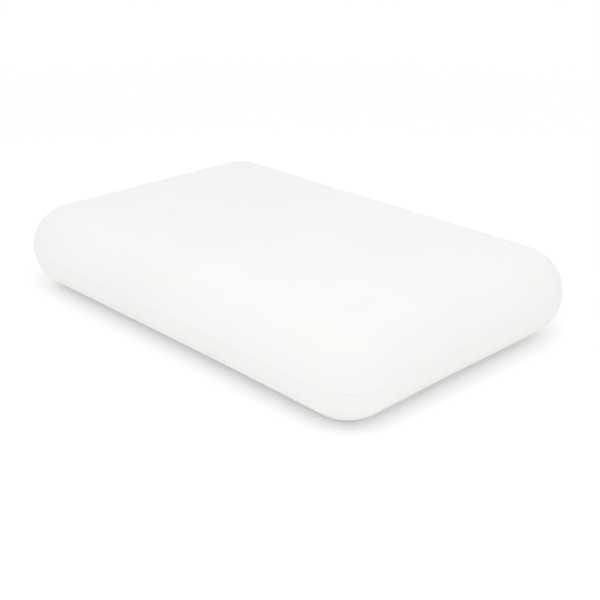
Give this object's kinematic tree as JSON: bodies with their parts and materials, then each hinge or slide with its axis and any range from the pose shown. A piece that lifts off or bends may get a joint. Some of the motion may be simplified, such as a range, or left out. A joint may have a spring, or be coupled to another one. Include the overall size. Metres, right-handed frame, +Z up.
{
  "type": "bed pillow",
  "caption": "Rectangular moulded-foam bed pillow with flat faces, a full round edge and a fine girth seam; smooth removable cover closed by a zip along one long side.",
  "frame": {"origin": "Centre of the pillow's flat underside, on the surface it lies on.", "axes": "+X along the long side, +Y across the pillow towards the side with the zip, +Z up. The pillow's body is symmetric about X = 0 and Y = 0, apart from the label and the zip's hardware."},
  "size_m": [0.6012, 0.4005, 0.106],
  "materials": {
    "cover_knit": "matte",
    "cover_seam": "matte",
    "sewing_thread": "satin",
    "liner_jersey": "matte",
    "foam": "matte",
    "zip_tape": "matte",
    "zip_coil": "satin",
    "plated_metal": "satin",
    "label_satin": "satin"
  },
  "bodies": {
    "pillow": {"foam_core": "foam", "liner_top": "liner_jersey", "liner_bottom": "liner_jersey", "liner_seam": "sewing_thread", "cover_top_panel": "cover_knit", "cover_bottom_panel": "cover_knit", "cover_girth_seam": "cover_seam", "zip_tape_upper": "zip_tape", "zip_tape_lower": "zip_tape", "zip_coil_upper": "zip_coil", "zip_coil_lower": "zip_coil", "zip_top_stops": "plated_metal", "zip_bottom_stop": "plated_metal", "zip_bartacks": "sewing_thread", "zip_topstitch": "sewing_thread", "care_label": "label_satin"},
    "zip_slider": {"zip_slider_body": "plated_metal"},
    "pull_tab": {"zip_pull_tab": "plated_metal"}
  },
  "joints": [
    {"name": "slider_travel", "type": "slide", "parent": "pillow", "child": "zip_slider", "axis": [1, 0, 0], "range_m": [-0.439, 0]},
    {"name": "pull_tab_hinge", "type": "hinge", "parent": "zip_slider", "child": "pull_tab", "pos_m": [0.2207, 0.2004, 0.053], "axis": [0, 0, -1], "range_deg": [0, 180]}
  ]
}
